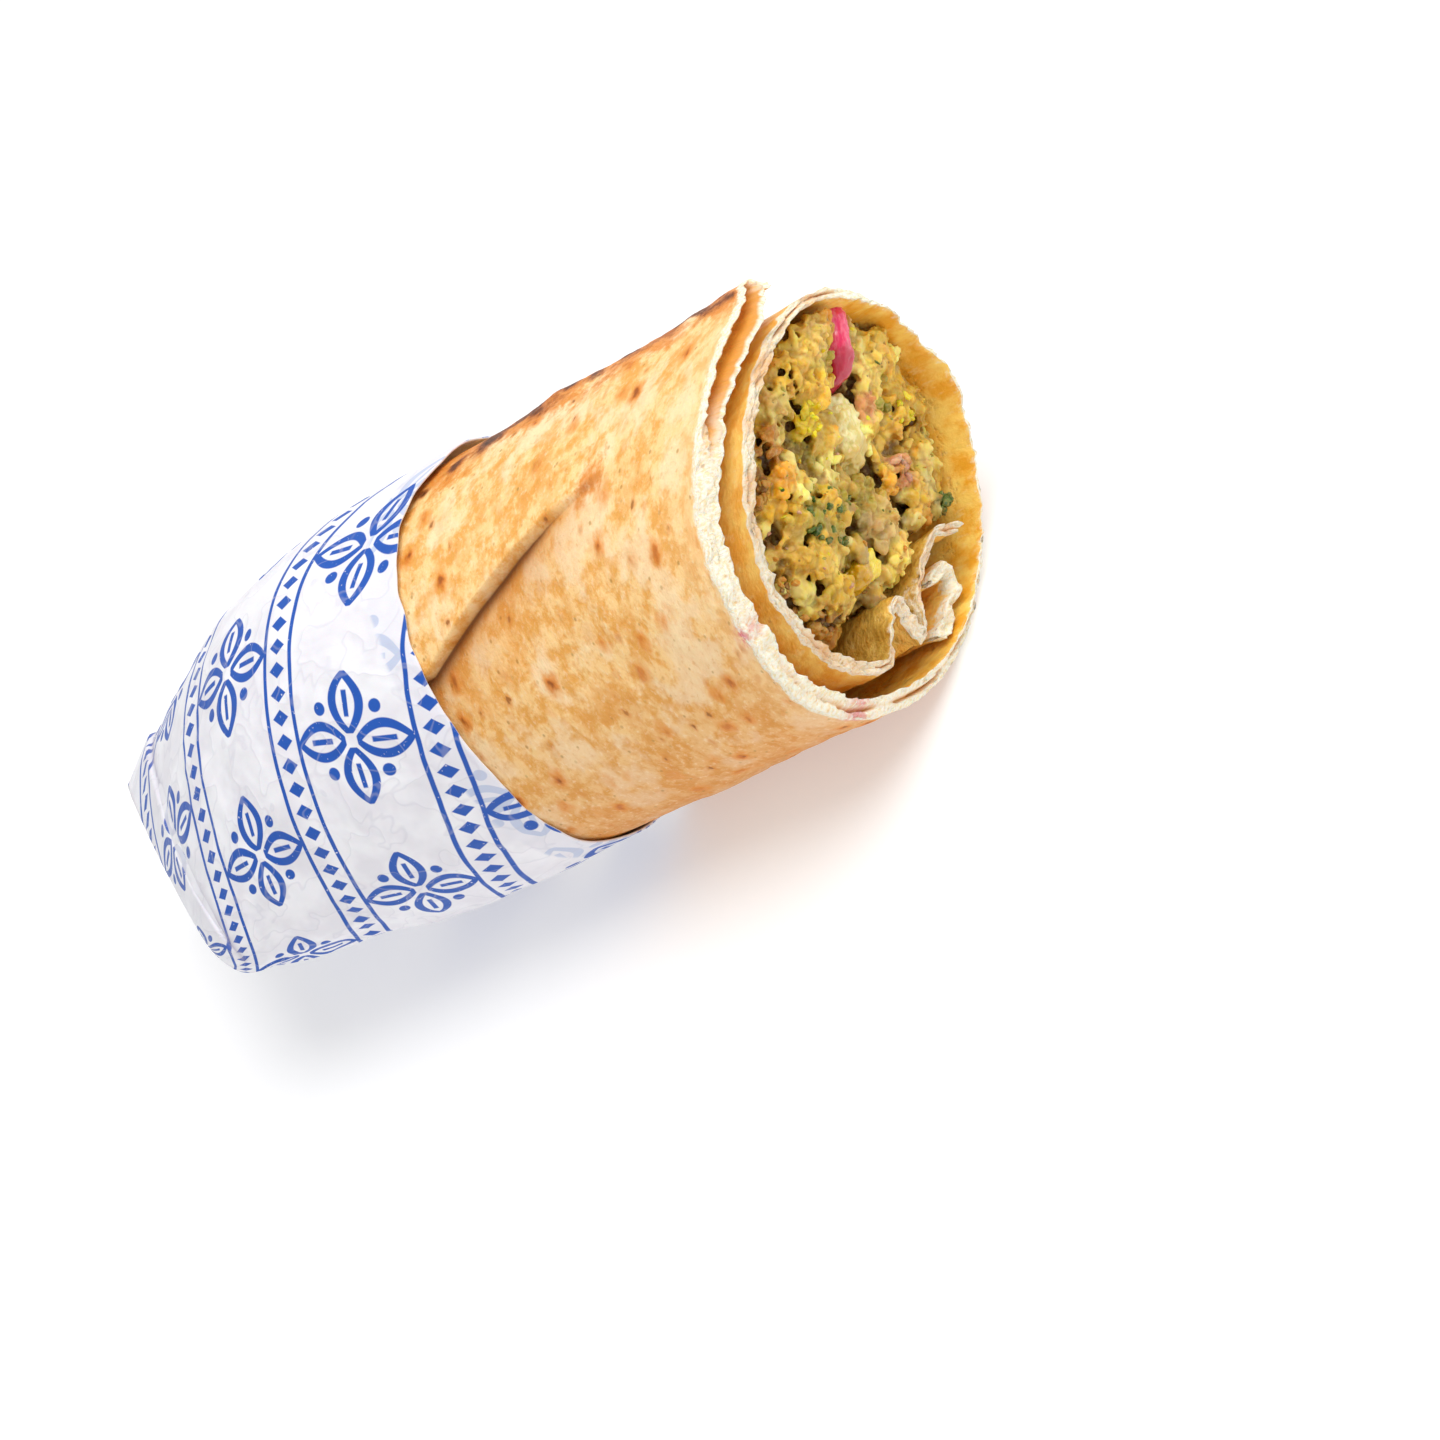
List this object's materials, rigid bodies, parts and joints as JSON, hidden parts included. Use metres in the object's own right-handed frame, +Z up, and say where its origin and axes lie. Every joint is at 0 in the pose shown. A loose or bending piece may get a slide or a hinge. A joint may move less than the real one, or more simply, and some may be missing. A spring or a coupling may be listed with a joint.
{
  "type": "falafel pita half",
  "caption": "Half of a toasted rolled pita filled with crumbled falafel and pickled vegetables, cut on a slant and held in a paper sleeve.",
  "frame": {"origin": "On the surface that the roll lies on, under the middle of its box", "axes": "+X along the roll towards its cut end, +Z up, -Y towards the side that the picture shows"},
  "size_m": [0.1446, 0.0604, 0.0597],
  "materials": {
    "toasted_bread": "soft toasted flatbread, golden with brown spots, pale and crumbly at its cut edges",
    "falafel": "moist crumbly falafel mash, yellow and green with brown crust",
    "turnip": "wet, crisp pink pickle",
    "potato": "soft fried potato, pale yellow",
    "pickle": "wet yellow pickle",
    "printed_paper": "thin white sandwich paper with a blue pattern, lightly creased"
  },
  "bodies": {
    "root": {"rolled_pita": "toasted_bread", "falafel_filling": "falafel", "pickled_turnip": "turnip", "potato_strip": "potato", "pickle_piece": "pickle", "paper_sleeve": "printed_paper"}
  },
  "joints": []
}
